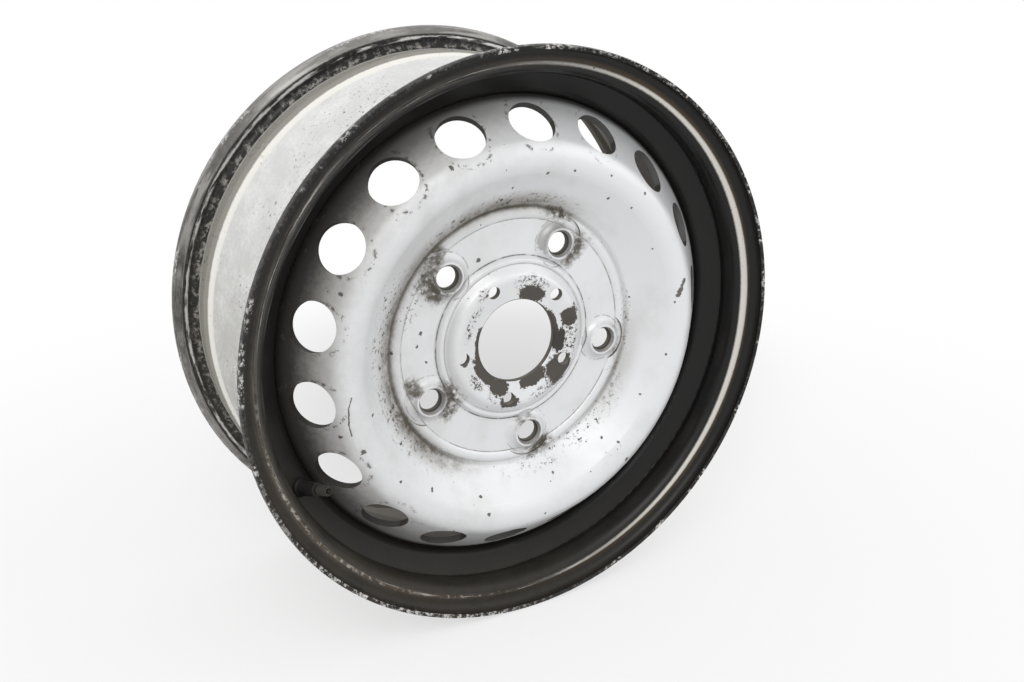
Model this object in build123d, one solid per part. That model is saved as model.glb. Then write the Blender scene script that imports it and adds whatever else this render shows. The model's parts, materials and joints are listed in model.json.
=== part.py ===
from build123d import *
import os
from math import cos, radians, sin, tan

# Welded steel road wheel for a van: a rolled rim, a pressed disc and a snap-in valve.
# Millimetres and degrees. The wheel is drawn about Z, with heights measured outboard from the
# hub mounting face, and is turned at the end so that it spins about Y and faces -Y.

# Rim: 16 inch seats 6.5 inch apart, J flanges and a hump beside each seat
seat_diameter = 405.6
rim_width = 165.1
wheel_offset = 57.0
rim_sheet = 2.8
flange_height = 17.3
flange_bend = 9.5
flange_turn_down = 20.0
lip_straight = 0.7
corner_bend = 6.5
seat_length = 14.0
seat_taper = 5.0
hump_from_flange = 21.0
hump_rise = 0.9
hump_bend = 4.0
seat_end_bend = 2.0
well_depth = 17.3
well_front_angle = 62.0
well_front_bend = 5.0
well_floor = 52.0
well_rear_bend = 27.0
ledge_drop = 3.8
ledge_from_hump = 9.0
ledge_bend = 8.0

# Disc: bore, nave, bolt face, crown, vent band and the flange that seats under the well
disc_sheet = 5.0
bore_diameter = 65.1
bore_chamfer = 1.0
bore_rise = 6.0
bore_land = 2.0
nave_rise = 8.8
nave_radius = 51.5
bead_start_rise = 2.1
bead_start_radius = 59.4
bead_radius = 61.6
bead_width = 2.4
bead_rise = 3.4
bead_foot_radius = 65.4
ridge_foot_radius = 93.2
ridge_rise = 2.1
groove_radius = 102.2
groove_bend = 7.0
crown_slope = 38.0
crown_bend = 18.0
vent_slope = 49.5
vent_circle_radius = 164.8
vent_height = 13.0
vent_diameter = 36.0
vent_count = 18
vent_phase = 26.1
disc_flange_length = 30.0
disc_flange_bend = 12.0
seat_clearance = 0.1

# Bolt seats: raised bosses with a conical seat in front and a relief behind
bolt_circle_diameter = 160.0
bolt_count = 5
bolt_phase = 62.2
bolt_hole_diameter = 16.6
bolt_seat_diameter = 21.5
bolt_seat_half_angle = 30.0
boss_height = 6.0
boss_base_diameter = 37.0
boss_top_diameter = 24.4
boss_hollow = 0.35
boss_round = 0.8
boss_relief_diameter = 23.0
boss_relief_depth = 3.6
coin_diameter = 42.0

# Small holes of the nave
clip_circle_radius = 46.2
clip_hole_diameter = 9.8
clip_phase = 44.0

# Fillet welds between the disc flange and the well
weld_leg = 4.5
weld_count = 8
weld_arc = 24.0
weld_phase = 9.0

# Snap-in valve in the front wall of the well
valve_angle = 205.7
valve_hole_diameter = 11.5
valve_hole_clearance = 0.1
valve_head_diameter = 16.0
valve_head_height = 4.0
valve_tail_length = 10.0
valve_shoulder_diameter = 14.0
valve_shoulder_height = 2.2
valve_rubber_reach = 19.0
valve_rubber_end_diameter = 10.2
stem_reach = 30.0
stem_thread_diameter = 7.7
stem_thread_length = 10.5
stem_neck_diameter = 6.4
stem_chamber_diameter = 5.3
stem_passage_diameter = 3.0
stem_chamfer = 0.6

# Valve core
core_clearance = 0.1
core_top_below_mouth = 1.2
core_head_length = 4.5
core_waist_diameter = 4.0
core_length = 10.5
core_spring_bore_diameter = 3.4
core_ledge_height = 1.6
core_guide_diameter = 1.9
gasket_below_head = 1.2
gasket_height = 2.0
pin_diameter = 1.1
pin_below_mouth = 0.5
pin_collar_diameter = 2.8
pin_collar_height = 0.6
pin_stroke = 1.5
plunger_diameter = 4.2
plunger_height = 1.2
seal_height = 1.2
spring_length = 5.6
spring_wire_width = 0.31
spring_coils = 3.5

# Frame of the finished wheel: local Z is outboard
wheel_frame = Plane(origin=(0, 0, 0), x_dir=(1, 0, 0), z_dir=(0, -1, 0))


def segment_directions(path):
    """Unit vectors of a path's straight stretches."""
    return [(b - a).normalized() for a, b in zip(path[:-1], path[1:])]


def right_of(direction):
    """Unit vector to the right of a direction in the section plane."""
    return Vector(direction.Y, -direction.X)


def sheet_section(path, bends, thickness):
    """Section of a bent sheet whose face follows the path, with its metal to the right.

    Each bend's radius is given on the path, and the other face bends about the same centre.
    """
    points = [Vector(*point) for point in path]
    directions = segment_directions(points)
    sides = [right_of(direction) for direction in directions]
    back = [points[0] + sides[0] * thickness]
    back_bends = []
    for index, bend in enumerate(bends):
        before, after = sides[index], sides[index + 1]
        mitre = (before + after) * (thickness / (1 + before.dot(after)))
        back.append(points[index + 1] + mitre)
        turns_left = directions[index].cross(directions[index + 1]).Z > 0
        back_bends.append(bend + thickness if turns_left else max(bend - thickness, 0))
    back.append(points[-1] + sides[-1] * thickness)
    face_line = FilletPolyline(*points, radius=bends)
    back_line = FilletPolyline(*back, radius=back_bends)
    ends = [Line(points[0], back[0]), Line(points[-1], back[-1])]
    return make_face([*face_line.edges(), *back_line.edges(), *(end.edge() for end in ends)])


def turned(section):
    """Ring made by turning a section, drawn as radius and height, about the wheel's axis."""
    return revolve(Plane.XZ * section, axis=Axis.Z)


def turned_outline(*outline):
    """Ring or plug made by turning a closed outline of radius and height points."""
    return turned(make_face(Polyline(*outline, close=True)))


def around(radius, count, phase):
    """Places on a circle about the wheel's axis."""
    return PolarLocations(radius, count, start_angle=phase)


# Rim

seat_radius = seat_diameter / 2
flange_radius = seat_radius + flange_height
half_width = rim_width / 2
well_radius = seat_radius - well_depth


def flange_points():
    """Lip, flange corner, seat corner, seat end and hump of one side.

    Each is a pair of its distance from the rim's middle plane and its radius.
    """
    turn = radians(flange_turn_down)
    lip_axial = half_width + flange_bend * (1 + sin(turn))
    lip_radius = flange_radius - flange_bend * (1 - cos(turn))
    tip = (lip_axial + lip_straight * cos(turn), lip_radius - lip_straight * sin(turn))
    corner = (half_width, lip_radius + (lip_axial - half_width) * tan(turn))
    seat_start = (half_width, seat_radius)
    seat_end = (half_width - seat_length, seat_radius - seat_length * tan(radians(seat_taper)))
    hump = (half_width - hump_from_flange, seat_radius + hump_rise)
    return [tip, corner, seat_start, seat_end, hump]


def front_point(axial, radius):
    """Section point on the outboard side of the rim's middle plane."""
    return (radius, axial - wheel_offset)


def rear_point(axial, radius):
    """Section point on the inboard side of the rim's middle plane."""
    return (radius, -axial - wheel_offset)


front_side = [front_point(*point) for point in flange_points()]
rear_side = [rear_point(*point) for point in flange_points()]
front_hump = Vector(*front_side[-1])
rear_hump = Vector(*rear_side[-1])
well_front = Vector(
    well_radius, front_hump.Y - (front_hump.X - well_radius) / tan(radians(well_front_angle))
)
well_rear = Vector(well_radius, well_front.Y - well_floor)
ledge = Vector(rear_hump.X - ledge_drop, rear_hump.Y + ledge_from_hump)
side_bends = [flange_bend, corner_bend, seat_end_bend]
rim_path = [*front_side, well_front, well_rear, ledge, *reversed(rear_side)]
rim_bends = [
    *side_bends, hump_bend, well_front_bend, well_rear_bend, ledge_bend, hump_bend, *reversed(side_bends)
]
rim = turned(sheet_section(rim_path, rim_bends, rim_sheet))

# The valve stands square on the middle of the well's front wall
wall_run = (well_front - front_hump).normalized()
wall_normal = right_of(wall_run)
wall_middle = (front_hump + well_front) * 0.5 + wall_normal * rim_sheet
radial = Vector(cos(radians(valve_angle)), sin(radians(valve_angle)), 0)
valve_frame = Plane(
    origin=radial * wall_middle.X + Vector(0, 0, wall_middle.Y),
    z_dir=radial * wall_normal.X + Vector(0, 0, wall_normal.Y),
)
valve_hole = valve_frame * Cylinder(valve_hole_diameter / 2, 4 * rim_sheet)
rim -= valve_hole

# Disc

bolt_face = disc_sheet
bore_face = bolt_face + bore_rise
nave_face = bolt_face + nave_rise
bead_start = bolt_face + bead_start_rise
bore_radius = bore_diameter / 2
disc_seat_radius = well_radius - rim_sheet - seat_clearance
band_run = 1 / tan(radians(vent_slope))
crown_rise = tan(radians(crown_slope))
crown_radius = (
    vent_circle_radius + (vent_height - bolt_face + groove_radius * crown_rise) * band_run
) / (1 + crown_rise * band_run)
crown_height = bolt_face + (crown_radius - groove_radius) * crown_rise
knee_height = vent_height - (disc_seat_radius - vent_circle_radius) / band_run
flange_end = knee_height - disc_flange_length
disc_path = [
    (bore_radius, bore_face),
    (bore_radius + bore_land, bore_face),
    (nave_radius, nave_face),
    (bead_start_radius, bead_start),
    (bead_foot_radius, bolt_face),
    (groove_radius, bolt_face),
    (crown_radius, crown_height),
    (disc_seat_radius, knee_height),
    (disc_seat_radius, flange_end),
]
step_bend = disc_sheet * 1.2
disc_bends = [1.0, step_bend, 1.0, 1.0, groove_bend, crown_bend, disc_flange_bend]
disc = turned(sheet_section(disc_path, disc_bends, disc_sheet))

# Bead around the nave, and the ridge at the edge of the bolt face
bead_top = bolt_face + bead_rise
bead_outline = FilletPolyline(
    (bead_start_radius, bead_start),
    (bead_radius - bead_width / 2, bead_top),
    (bead_radius + bead_width / 2, bead_top),
    (bead_foot_radius, bolt_face),
    (bead_foot_radius, bolt_face - 1),
    (bead_start_radius, bead_start - 1),
    radius=[bead_width / 2, bead_width / 2, 0, 0],
)
bead_close = Line(bead_outline @ 1, bead_outline @ 0)
bead = turned(make_face([*bead_outline.edges(), bead_close.edge()]))
ridge_middle = (ridge_foot_radius + groove_radius) / 2
ridge_arc = ThreePointArc(
    (ridge_foot_radius, bolt_face), (ridge_middle, bolt_face + ridge_rise), (groove_radius, bolt_face)
)
ridge_base = Polyline(
    (groove_radius, bolt_face),
    (groove_radius, bolt_face - 1),
    (ridge_foot_radius, bolt_face - 1),
    (ridge_foot_radius, bolt_face),
)
ridge = turned(make_face([ridge_arc.edge(), *ridge_base.edges()]))

# Each bolt seat is coined flat around its hollow-sided boss, through the ridge
bolt_circle_radius = bolt_circle_diameter / 2
bolt_places = around(bolt_circle_radius, bolt_count, bolt_phase)
boss_top = bolt_face + boss_height
coin = Pos(0, 0, bolt_face) * Cylinder(
    coin_diameter / 2, boss_height, align=(Align.CENTER, Align.CENTER, Align.MIN)
)
coins = [place * coin for place in bolt_places]
ridge -= coins
boss_foot = Vector(boss_base_diameter / 2, bolt_face)
boss_edge = Vector(boss_top_diameter / 2, boss_top)
boss_side = ThreePointArc(
    boss_foot,
    Vector(
        boss_edge.X + (boss_foot.X - boss_edge.X) * boss_hollow,
        boss_foot.Y + (boss_edge.Y - boss_foot.Y) * boss_hollow,
    ),
    boss_edge,
)
boss_rest = Polyline(
    boss_edge, (0, boss_top), (0, bolt_face - 1), (boss_base_diameter / 2, bolt_face - 1), boss_foot
)
boss = turned(make_face([boss_side.edge(), *boss_rest.edges()]))
boss = fillet(boss.edges().sort_by(Axis.Z)[-1], boss_round)
bolt_radius = bolt_hole_diameter / 2
seat_mouth_radius = bolt_seat_diameter / 2
seat_depth = (seat_mouth_radius - bolt_radius) / tan(radians(bolt_seat_half_angle))
over = 2 * seat_clearance
bolt_cutter = turned_outline(
    (0, boss_top + over),
    (seat_mouth_radius + over * tan(radians(bolt_seat_half_angle)), boss_top + over),
    (bolt_radius, boss_top - seat_depth),
    (bolt_radius, boss_relief_depth),
    (boss_relief_diameter / 2, 0),
    (boss_relief_diameter / 2, -over),
    (0, -over),
)
disc += [bead, ridge]
disc += [place * boss for place in bolt_places]
disc -= [place * bolt_cutter for place in bolt_places]

# Vents square to the sloping band, small holes of the nave, and the bore's chamfers
vent_place = Pos(0, 0, vent_height) * Rot(0, vent_slope, 0)
vent = vent_place * Cylinder(vent_diameter / 2, 6 * disc_sheet)
disc -= [place * vent for place in around(vent_circle_radius, vent_count, vent_phase)]
clip_hole = Pos(0, 0, nave_face) * Cylinder(clip_hole_diameter / 2, 4 * disc_sheet)
disc -= [place * clip_hole for place in around(clip_circle_radius, bolt_count, clip_phase)]
bore_back = bore_face - disc_sheet
for bore_edge in (bore_face, bore_back):
    outward = 1 if bore_edge == bore_face else -1
    disc -= turned_outline(
        (0, bore_edge),
        (bore_radius + bore_chamfer, bore_edge),
        (bore_radius, bore_edge - outward * bore_chamfer),
        (0, bore_edge - outward * bore_chamfer),
    )

# Welds in the corner between the flange's end and the well
weld_seat_radius = well_radius - rim_sheet - seat_clearance
weld_section = Plane.XZ * make_face(
    Polyline(
        (weld_seat_radius, flange_end),
        (weld_seat_radius - weld_leg, flange_end),
        (weld_seat_radius - weld_leg / 3, flange_end - weld_leg * 2 / 3),
        (weld_seat_radius, flange_end - weld_leg),
        close=True,
    )
)
weld = revolve(weld_section, axis=Axis.Z, revolution_arc=weld_arc)
welds = [Rot(0, 0, weld_phase + index * 360 / weld_count) * weld for index in range(weld_count)]
weld_beads = Compound(children=welds)

# Valve, drawn about its own axis with zero at the well wall's inner face

hole_radius = valve_hole_diameter / 2
tyre_side = -rim_sheet - valve_hole_clearance
valve_tail = tyre_side - valve_head_height - valve_tail_length
stem_neck_radius = stem_neck_diameter / 2
stem_thread_radius = stem_thread_diameter / 2
stem_thread_start = stem_reach - stem_thread_length
valve_rubber = turned_outline(
    (stem_neck_radius, valve_tail),
    (stem_neck_radius + 2, valve_tail),
    (valve_head_diameter / 2 - 1.5, tyre_side - valve_head_height),
    (valve_head_diameter / 2, tyre_side - valve_head_height / 2),
    (valve_head_diameter / 2, tyre_side),
    (hole_radius - valve_hole_clearance, tyre_side),
    (hole_radius - valve_hole_clearance, valve_hole_clearance),
    (valve_shoulder_diameter / 2, valve_hole_clearance),
    (valve_shoulder_diameter / 2, valve_shoulder_height),
    (valve_rubber_end_diameter / 2, valve_rubber_reach),
    (stem_neck_radius, valve_rubber_reach),
)
chamber_radius = stem_chamber_diameter / 2
passage_radius = stem_passage_diameter / 2
core_top = stem_reach - core_top_below_mouth
core_bottom = core_top - core_length
seal_bottom = core_bottom - seal_height
plunger_bottom = seal_bottom - plunger_height
chamber_bottom = plunger_bottom - 2 * pin_stroke
valve_stem = turned_outline(
    (passage_radius, valve_tail),
    (stem_neck_radius, valve_tail),
    (stem_neck_radius, stem_thread_start),
    (stem_thread_radius, stem_thread_start),
    (stem_thread_radius, stem_reach - stem_chamfer),
    (stem_thread_radius - stem_chamfer, stem_reach),
    (chamber_radius, stem_reach),
    (chamber_radius, chamber_bottom),
    (passage_radius, chamber_bottom),
)
core_head_radius = chamber_radius - core_clearance
core_waist_radius = core_waist_diameter / 2
guide_radius = core_guide_diameter / 2
spring_bore_radius = core_spring_bore_diameter / 2
ledge_top = core_bottom + core_ledge_height
head_bottom = core_top - core_head_length
core_body = turned_outline(
    (spring_bore_radius, core_top),
    (core_head_radius, core_top),
    (core_head_radius, head_bottom),
    (core_waist_radius, head_bottom),
    (core_waist_radius, core_bottom),
    (guide_radius, core_bottom),
    (guide_radius, ledge_top),
    (spring_bore_radius, ledge_top),
)
gasket_top = head_bottom - gasket_below_head
core_gasket = turned_outline(
    (core_waist_radius + core_clearance / 2, gasket_top),
    (core_head_radius, gasket_top),
    (core_head_radius, gasket_top - gasket_height / 2),
    (core_waist_radius + core_clearance / 2, gasket_top - gasket_height),
)
pin_radius = pin_diameter / 2
pin_top = stem_reach - pin_below_mouth
collar_bottom = ledge_top + spring_length
collar_top = collar_bottom + pin_collar_height
core_pin = turned_outline(
    (0, pin_top),
    (pin_radius, pin_top),
    (pin_radius, collar_top),
    (pin_collar_diameter / 2, collar_top),
    (pin_collar_diameter / 2, collar_bottom),
    (pin_radius, collar_bottom),
    (pin_radius, seal_bottom),
    (plunger_diameter / 2, seal_bottom),
    (plunger_diameter / 2, plunger_bottom),
    (0, plunger_bottom),
)
core_seal = turned_outline(
    (pin_radius + core_clearance / 2, core_bottom),
    (plunger_diameter / 2, core_bottom),
    (plunger_diameter / 2, seal_bottom),
    (pin_radius + core_clearance / 2, seal_bottom),
)
spring_radius = (guide_radius + spring_bore_radius) / 2
wire_radius = spring_wire_width / 2
coil_height = spring_length - 2 * (wire_radius + core_clearance)
coil = Helix(coil_height / spring_coils, coil_height, spring_radius)
wire_section = Plane(origin=coil @ 0, z_dir=coil % 0) * Rectangle(spring_wire_width, spring_wire_width)
wire = sweep(wire_section, path=coil)
core_spring = Pos(0, 0, ledge_top + wire_radius + core_clearance) * wire

# Export: every piece is turned into the wheel's frame

os.makedirs("parts", exist_ok=True)
pieces = {
    "rim": rim,
    "disc": disc,
    "weld_beads": weld_beads,
    "valve_rubber": valve_frame * valve_rubber,
    "valve_stem": valve_frame * valve_stem,
    "core_body": valve_frame * core_body,
    "core_gasket": valve_frame * core_gasket,
    "core_pin": valve_frame * core_pin,
    "core_seal": valve_frame * core_seal,
    "core_spring": valve_frame * core_spring,
}
for name, piece in pieces.items():
    export_step(wheel_frame * piece, f"parts/{name}.step")
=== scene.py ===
import json
import logging
import math
from dataclasses import dataclass, field
from enum import Enum
from typing import Callable, Sequence

import bmesh
import bpy
import numpy as np
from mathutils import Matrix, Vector


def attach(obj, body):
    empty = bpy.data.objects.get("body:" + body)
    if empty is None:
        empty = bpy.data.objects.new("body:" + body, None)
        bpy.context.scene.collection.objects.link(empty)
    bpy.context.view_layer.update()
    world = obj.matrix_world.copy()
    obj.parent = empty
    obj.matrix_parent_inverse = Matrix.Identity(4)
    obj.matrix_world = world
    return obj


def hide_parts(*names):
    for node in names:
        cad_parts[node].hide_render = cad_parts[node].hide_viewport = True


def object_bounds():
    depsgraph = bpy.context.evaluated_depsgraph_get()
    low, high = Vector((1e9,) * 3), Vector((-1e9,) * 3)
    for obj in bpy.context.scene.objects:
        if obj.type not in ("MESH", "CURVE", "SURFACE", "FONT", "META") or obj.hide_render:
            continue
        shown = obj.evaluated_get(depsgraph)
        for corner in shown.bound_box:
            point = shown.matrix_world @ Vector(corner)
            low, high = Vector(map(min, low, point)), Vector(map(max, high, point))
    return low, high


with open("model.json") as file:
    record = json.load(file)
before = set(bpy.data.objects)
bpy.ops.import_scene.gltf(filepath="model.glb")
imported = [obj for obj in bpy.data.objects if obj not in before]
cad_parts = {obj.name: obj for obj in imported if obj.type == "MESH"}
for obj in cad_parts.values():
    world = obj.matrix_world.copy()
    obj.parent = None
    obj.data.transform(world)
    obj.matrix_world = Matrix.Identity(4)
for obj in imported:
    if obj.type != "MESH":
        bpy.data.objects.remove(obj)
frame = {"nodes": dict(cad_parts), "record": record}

log = logging.getLogger("steel_wheel")
cad_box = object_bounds()

MM = 0.001
FULL_TURN = 2 * math.pi
WHEEL_BODY = "wheel"


class Kind(Enum):
    """Kinds of sockets on the shared effects."""

    VALUE = "NodeSocketFloat"
    VECTOR = "NodeSocketVector"


class Field:
    """A value that changes over a surface, with plain arithmetic that writes Math nodes."""

    def __init__(self, weave: "Weave", socket: bpy.types.NodeSocket) -> None:
        """Keeps the socket and the tree that it belongs to."""
        self.weave = weave
        self.socket = socket

    def __add__(self, other: "Amount") -> "Field":
        """Sum of two amounts."""
        return self.weave.math("ADD", self, other)

    def __sub__(self, other: "Amount") -> "Field":
        """Difference of two amounts."""
        return self.weave.math("SUBTRACT", self, other)

    def __rsub__(self, other: float) -> "Field":
        """A plain number less this amount."""
        return self.weave.math("SUBTRACT", other, self)

    def __mul__(self, other: "Amount") -> "Field":
        """Product of two amounts."""
        return self.weave.math("MULTIPLY", self, other)

    def __truediv__(self, other: "Amount") -> "Field":
        """Quotient of two amounts."""
        return self.weave.math("DIVIDE", self, other)

    __radd__ = __add__
    __rmul__ = __mul__


Amount = Field | float
Colour = tuple[float, float, float]
Place = tuple[float, float, float]
Span = tuple[float, float]


@dataclass
class Weave:
    """Writes nodes into one shader node tree."""

    tree: bpy.types.NodeTree

    def node(self, kind: str, **settings: object) -> bpy.types.Node:
        """Adds a node.

        Args:
            kind: Blender's name for the node type.
            settings: Properties to set on the node.

        Returns:
            The new node.
        """
        made = self.tree.nodes.new(kind)
        for name, value in settings.items():
            setattr(made, name, value)
        return made

    def feed(self, socket: bpy.types.NodeSocket, value: Field | float | Sequence[float]) -> None:
        """Links a field into a socket, or sets the socket to a plain value."""
        if isinstance(value, Field):
            self.tree.links.new(value.socket, socket)
        else:
            socket.default_value = value

    def math(self, operation: str, *values: Amount) -> Field:
        """Result of a Math node on the given amounts."""
        made = self.node("ShaderNodeMath", operation=operation)
        for socket, value in zip(made.inputs, values):
            self.feed(socket, value)
        return Field(self, made.outputs[0])

    def vector(self, operation: str, *values: Field | Sequence[float]) -> Field:
        """Vector result of a Vector Math node."""
        made = self.node("ShaderNodeVectorMath", operation=operation)
        for socket, value in zip(made.inputs, values):
            self.feed(socket, value)
        return Field(self, made.outputs["Vector"])

    def scaled(self, value: Field, factor: Amount) -> Field:
        """A vector times a plain factor."""
        made = self.node("ShaderNodeVectorMath", operation="SCALE")
        self.feed(made.inputs[0], value)
        self.feed(made.inputs["Scale"], factor)
        return Field(self, made.outputs["Vector"])

    def measure(self, operation: str, *values: Field) -> Field:
        """Number made by a Vector Math node, such as a length or a dot product."""
        made = self.node("ShaderNodeVectorMath", operation=operation)
        for socket, value in zip(made.inputs, values):
            self.feed(socket, value)
        return Field(self, made.outputs["Value"])

    def parts(self, value: Field) -> tuple[Field, Field, Field]:
        """X, Y and Z of a vector."""
        made = self.node("ShaderNodeSeparateXYZ")
        self.feed(made.inputs[0], value)
        return tuple(Field(self, socket) for socket in made.outputs)

    def joined(self, x: Amount, y: Amount, z: Amount) -> Field:
        """A vector from its X, Y and Z."""
        made = self.node("ShaderNodeCombineXYZ")
        for socket, value in zip(made.inputs, (x, y, z)):
            self.feed(socket, value)
        return Field(self, made.outputs[0])

    def step(self, value: Field, low: Amount, high: Amount) -> Field:
        """Smooth rise from 0 at low to 1 at high; it falls where low is above high."""
        made = self.node("ShaderNodeMapRange", interpolation_type="SMOOTHSTEP")
        self.feed(made.inputs["Value"], value)
        self.feed(made.inputs["From Min"], low)
        self.feed(made.inputs["From Max"], high)
        return Field(self, made.outputs["Result"])

    def noise(self, place: Field, size: float, detail: float = 3.0, rough: float = 0.55) -> Field:
        """Cloudy noise about 0.5 whose blots are about size across, in the unit of place."""
        made = self.node("ShaderNodeTexNoise")
        self.feed(made.inputs["Vector"], place)
        self.feed(made.inputs["Scale"], 1.0 / size)
        self.feed(made.inputs["Detail"], detail)
        self.feed(made.inputs["Roughness"], rough)
        return Field(self, made.outputs["Fac"])

    def most(self, *values: Field) -> Field:
        """Largest of several masks."""
        result = values[0]
        for value in values[1:]:
            result = self.math("MAXIMUM", result, value)
        return result

    def blend(self, share: Amount, first: Amount, second: Amount) -> Field:
        """Mix of two numbers."""
        made = self.node("ShaderNodeMix", data_type="FLOAT")
        for index, value in zip((0, 2, 3), (share, first, second)):
            self.feed(made.inputs[index], value)
        return Field(self, made.outputs[0])

    def tone(self, share: Amount, first: Field | Colour, second: Field | Colour) -> Field:
        """Mix of two colours."""
        made = self.node("ShaderNodeMix", data_type="RGBA")
        for index, value in zip((0, 6, 7), (share, first, second)):
            self.feed(made.inputs[index], (*value, 1.0) if isinstance(value, tuple) else value)
        return Field(self, made.outputs[2])

    def use(self, effect: "Effect", **values: Field | float | Sequence[float]) -> dict[str, Field]:
        """Places a shared effect in this tree.

        Args:
            effect: The effect to place.
            values: Its inputs, by name.

        Returns:
            Its outputs, by name.
        """
        made = self.node("ShaderNodeGroup", node_tree=effect.group())
        for name, value in values.items():
            self.feed(made.inputs[name], value)
        return {socket.name: Field(self, socket) for socket in made.outputs}


@dataclass(frozen=True)
class Effect:
    """A shader node group with named inputs and outputs, built once and shared by the finishes."""

    name: str
    inputs: dict[str, Kind]
    outputs: dict[str, Kind]
    recipe: Callable[[Weave, dict[str, Field]], dict[str, Field]]

    def group(self) -> bpy.types.NodeTree:
        """The node group, which is made at its first use."""
        known = bpy.data.node_groups.get(self.name)
        if known is not None:
            return known
        tree = bpy.data.node_groups.new(self.name, "ShaderNodeTree")
        for name, kind in self.inputs.items():
            tree.interface.new_socket(name=name, in_out="INPUT", socket_type=kind.value)
        for name, kind in self.outputs.items():
            tree.interface.new_socket(name=name, in_out="OUTPUT", socket_type=kind.value)
        weave = Weave(tree)
        entry = weave.node("NodeGroupInput")
        leave = weave.node("NodeGroupOutput")
        made = self.recipe(weave, {name: Field(weave, entry.outputs[name]) for name in self.inputs})
        for name, value in made.items():
            weave.feed(leave.inputs[name], value)
        return tree


def values(*names: str) -> dict[str, Kind]:
    """Sockets of an effect that are all plain values."""
    return {name: Kind.VALUE for name in names}


def wheel_place(weave: Weave, given: dict[str, Field]) -> dict[str, Field]:
    """Where a point lies on the wheel, in millimetres and degrees.

    Radius is the distance from the spin axis, Depth the distance outboard of the hub face, Angle is
    counted from +X towards +Z, Outward and Outboard are the normal's shares along the radius and
    towards the outboard side, and Turn is a point of a cylinder that carries noise without a seam.
    """
    x, y, z = weave.parts(given["Position"])
    normal_x, normal_y, normal_z = weave.parts(given["Normal"])
    radius = weave.math("SQRT", x * x + z * z)
    return {
        "Radius": radius,
        "Depth": y * -1.0,
        "Angle": weave.math("DEGREES", weave.math("ARCTAN2", z, x)),
        "Outward": (normal_x * x + normal_z * z) / radius,
        "Outboard": normal_y * -1.0,
        "Turn": weave.joined(x / radius, z / radius, 0.0),
    }


def ring_mask(weave: Weave, given: dict[str, Field]) -> dict[str, Field]:
    """A band of one half width about a middle value, with soft edges."""
    away = weave.math("ABSOLUTE", given["Value"] - given["Middle"])
    low = given["Half Width"] - given["Softness"]
    high = given["Half Width"] + given["Softness"]
    return {"Mask": weave.step(away, high, low)}


def patch_mask(weave: Weave, given: dict[str, Field]) -> dict[str, Field]:
    """A rounded patch in radius and angle whose edge is moved in and out by a ragged noise.

    The offsets over their half widths give u and v; the distance is the cube root of u cubed plus
    v cubed, both without their signs, and the patch lies where it is below 1.
    """
    turn = weave.math("WRAP", given["Angle"] - given["Middle Angle"], 180.0, -180.0)
    across = (given["Radius"] - given["Middle Radius"]) / given["Half Width"]
    along = turn / given["Half Span"]
    sides = (weave.math("ABSOLUTE", side) for side in (across, along))
    wide, long = (weave.math("POWER", side, 3.0) for side in sides)
    away = weave.math("POWER", wide + long, 1.0 / 3.0) + given["Ragged"]
    return {"Mask": weave.step(away, 1.0 + given["Softness"], 1.0 - given["Softness"])}


def scar_mask(weave: Weave, given: dict[str, Field]) -> dict[str, Field]:
    """A chip or scratch: points within a half width of a straight line seen along the spin axis."""
    flat = weave.vector("MULTIPLY", given["Position"], (1.0, 0.0, 1.0))
    run = weave.vector("SUBTRACT", given["End"], given["Start"])
    reach = weave.vector("SUBTRACT", flat, given["Start"])
    share = weave.measure("DOT_PRODUCT", reach, run) / weave.measure("DOT_PRODUCT", run, run)
    share = weave.math("MINIMUM", weave.math("MAXIMUM", share, 0.0), 1.0)
    away = weave.measure("LENGTH", weave.vector("SUBTRACT", reach, weave.scaled(run, share)))
    edge = given["Half Width"] * (1.0 + given["Ragged"])
    return {"Mask": weave.step(away, edge * 1.15, edge * 0.85)}


def speckle_mask(weave: Weave, given: dict[str, Field]) -> dict[str, Field]:
    """Scattered specks: a random part of all cells holds one, each of a random size."""
    cells = weave.node("ShaderNodeTexVoronoi")
    closeness = weave.math("DIVIDE", 1.0, given["Spacing"])
    weave.feed(cells.inputs["Vector"], weave.scaled(given["Position"], closeness))
    cells.inputs["Scale"].default_value = 1.0
    chance, size, _ = weave.parts(Field(weave, cells.outputs["Color"]))
    size = given["Size"] * (0.35 + size) + given["Ragged"] * 0.15
    speck = weave.step(Field(weave, cells.outputs["Distance"]), size, size * 0.75)
    return {"Mask": speck * weave.math("LESS_THAN", chance, given["Amount"])}


def nearest_hole(weave: Weave, given: dict[str, Field]) -> dict[str, Field]:
    """Distance from the axis of the nearest of several holes that are spread evenly on a circle.

    The angle is folded into one pitch, and the law of cosines gives the distance.
    """
    half = given["Pitch"] * 0.5
    fold = weave.math("WRAP", given["Angle"] - given["Phase"], half, half * -1.0)
    lean = weave.math("COSINE", weave.math("RADIANS", fold))
    radius, circle = given["Radius"], given["Circle"]
    square = radius * radius + circle * circle - radius * circle * lean * 2.0
    return {"Distance": weave.math("SQRT", weave.math("MAXIMUM", square, 0.0))}


def grime_mask(weave: Weave, given: dict[str, Field]) -> dict[str, Field]:
    """Uneven dirt: broad clouds times fine grain, as thick as Amount says."""
    clouds = weave.noise(given["Position"], size=22.0, detail=4.0, rough=0.6)
    grain = weave.noise(given["Position"], size=2.6, rough=0.65)
    edge = 1.05 - given["Amount"]
    return {"Mask": weave.step(clouds * 0.62 + grain * 0.38, edge - 0.28, edge + 0.12)}


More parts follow.
